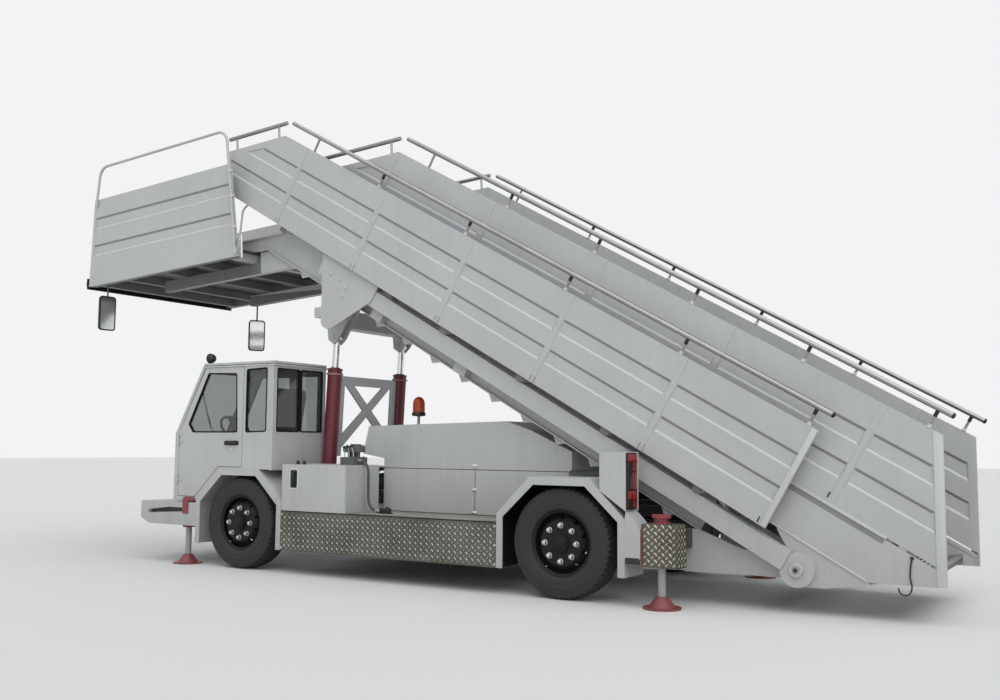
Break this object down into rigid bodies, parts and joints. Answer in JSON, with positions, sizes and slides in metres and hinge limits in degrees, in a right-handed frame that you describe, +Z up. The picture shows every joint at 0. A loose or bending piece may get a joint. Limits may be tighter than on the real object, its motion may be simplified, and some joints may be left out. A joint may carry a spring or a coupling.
{
  "type": "mobile aircraft stairs",
  "caption": "Self-propelled passenger stairs: low wheeled chassis with a side cab, telescoping stair flights on lift cylinders and a sliding boarding platform.",
  "frame": {"origin": "centre of the bounding box on the ground", "axes": "+X forward, towards the platform and cab; +Y to the vehicle's left; +Z up"},
  "size_m": [8.8392, 2.53, 4.3553],
  "materials": {
    "white_paint": "satin",
    "frame_paint": "satin",
    "red_paint": "satin",
    "jack_paint": "satin",
    "black_paint": "satin",
    "checker_plate": "satin",
    "rail_tube": "satin",
    "polished_rod": "polished",
    "cast_grey": "rough",
    "tyre_rubber": "matte",
    "hose_rubber": "matte",
    "glass": "gloss",
    "red_lens": "gloss",
    "clear_lens": "gloss",
    "amber_lens": "gloss",
    "seat_cloth": "matte",
    "black_plastic": "matte"
  },
  "bodies": {
    "chassis": {"chassis_frame": "frame_paint", "front_bumper": "white_paint", "front_axle": "frame_paint", "rear_axle": "frame_paint", "engine_block": "cast_grey", "engine_hood": "white_paint", "front_fenders": "white_paint", "rear_bodywork": "white_paint", "side_skirts": "checker_plate", "side_boxes": "white_paint", "deck_plates": "checker_plate", "cab_floor": "checker_plate", "cab_front": "white_paint", "cab_rear": "white_paint", "cab_roof": "white_paint", "cab_side_outer": "white_paint", "cab_side_inner": "white_paint", "cab_glazing": "glass", "driver_seat": "seat_cloth", "steering_column": "black_plastic", "jack_housings": "checker_plate", "tail_lamps": "red_lens", "head_lamps": "clear_lens", "roof_lamp": "black_plastic", "beacon": "amber_lens", "valve_block": "cast_grey", "hydraulic_hose": "hose_rubber"},
    "door": {"cab_door": "white_paint", "door_glass": "glass"},
    "jack_fl": {"jack_front_left": "jack_paint"},
    "jack_fr": {"jack_front_right": "jack_paint"},
    "jack_rl": {"jack_rear_left": "jack_paint"},
    "jack_rr": {"jack_rear_right": "jack_paint"},
    "steer_left": {"knuckle_left": "frame_paint"},
    "steer_right": {"knuckle_right": "frame_paint"},
    "wheel_fl": {"tyre_front_left": "tyre_rubber", "rim_front_left": "black_paint"},
    "wheel_fr": {"tyre_front_right": "tyre_rubber", "rim_front_right": "black_paint"},
    "wheel_rl": {"tyre_rear_left": "tyre_rubber", "rim_rear_left": "black_paint"},
    "wheel_rr": {"tyre_rear_right": "tyre_rubber", "rim_rear_right": "black_paint"},
    "barrels": {"lift_barrels": "red_paint", "barrel_brace": "white_paint"},
    "rods": {"lift_rods": "polished_rod"},
    "stair_frame": {"lift_beams": "white_paint", "cylinder_brackets": "white_paint", "lower_stringers": "white_paint", "lower_treads": "checker_plate", "lower_panels": "white_paint", "lower_handrails": "rail_tube"},
    "upper_flight": {"upper_frame": "white_paint", "upper_treads": "checker_plate", "upper_panels": "white_paint", "upper_handrails": "rail_tube"},
    "platform": {"platform_frame": "checker_plate", "platform_panels": "white_paint", "platform_hoops": "rail_tube"}
  },
  "joints": [
    {"name": "door_hinge", "type": "hinge", "parent": "chassis", "child": "door", "pos_m": [2.64226, 1.231, 1], "axis": [0, 0, -1], "range_deg": [0, 75]},
    {"name": "jack_fl_slide", "type": "slide", "parent": "chassis", "child": "jack_fl", "axis": [0, 0, 1], "range_m": [0, 0.2]},
    {"name": "jack_fr_slide", "type": "slide", "parent": "chassis", "child": "jack_fr", "axis": [0, 0, 1], "range_m": [0, 0.2]},
    {"name": "jack_rl_slide", "type": "slide", "parent": "chassis", "child": "jack_rl", "axis": [0, 0, 1], "range_m": [0, 0.2]},
    {"name": "jack_rr_slide", "type": "slide", "parent": "chassis", "child": "jack_rr", "axis": [0, 0, 1], "range_m": [0, 0.2]},
    {"name": "steer_left_hinge", "type": "hinge", "parent": "chassis", "child": "steer_left", "pos_m": [1.81326, 0.9, 0.43], "axis": [0, 0, 1], "range_deg": [-30, 30]},
    {"name": "steer_right_hinge", "type": "hinge", "parent": "chassis", "child": "steer_right", "pos_m": [1.81326, -0.9, 0.43], "axis": [0, 0, 1], "range_deg": [-30, 30]},
    {"name": "wheel_fl_spin", "type": "hinge", "parent": "steer_left", "child": "wheel_fl", "pos_m": [1.81326, 1.065, 0.43], "axis": [0, 1, 0], "continuous": true},
    {"name": "wheel_fr_spin", "type": "hinge", "parent": "steer_right", "child": "wheel_fr", "pos_m": [1.81326, -1.065, 0.43], "axis": [0, 1, 0], "continuous": true},
    {"name": "wheel_rl_spin", "type": "hinge", "parent": "chassis", "child": "wheel_rl", "pos_m": [-1.63674, 1.065, 0.43], "axis": [0, 1, 0], "continuous": true},
    {"name": "wheel_rr_spin", "type": "hinge", "parent": "chassis", "child": "wheel_rr", "pos_m": [-1.63674, -1.065, 0.43], "axis": [0, 1, 0], "continuous": true},
    {"name": "stair_lift", "type": "hinge", "parent": "chassis", "child": "stair_frame", "pos_m": [-3.35674, 0, 0.315], "axis": [0, -1, 0], "range_deg": [-1.5, 8]},
    {"name": "upper_slide", "type": "slide", "parent": "stair_frame", "child": "upper_flight", "axis": [0.8712, 0, 0.4909], "range_m": [-0.5, 0.6]},
    {"name": "platform_slide", "type": "slide", "parent": "upper_flight", "child": "platform", "axis": [0.998, 0, -0.0628], "range_m": [0, 0.6]},
    {"name": "barrel_hinge", "type": "hinge", "parent": "chassis", "child": "barrels", "pos_m": [1.32126, 0, 0.5], "axis": [0, -1, 0], "range_deg": [-1.5, 7.2]},
    {"name": "rod_slide", "type": "slide", "parent": "barrels", "child": "rods", "axis": [-0.0521, 0, 0.9986], "range_m": [-0.13, 0.67]}
  ],
  "couplings": [
    {"joint": "steer_right_hinge", "follows": "steer_left_hinge", "ratio": 1},
    {"joint": "barrel_hinge", "follows": "stair_lift", "ratio": 0.85},
    {"joint": "rod_slide", "follows": "stair_lift", "m_per_rad": 4.68}
  ]
}
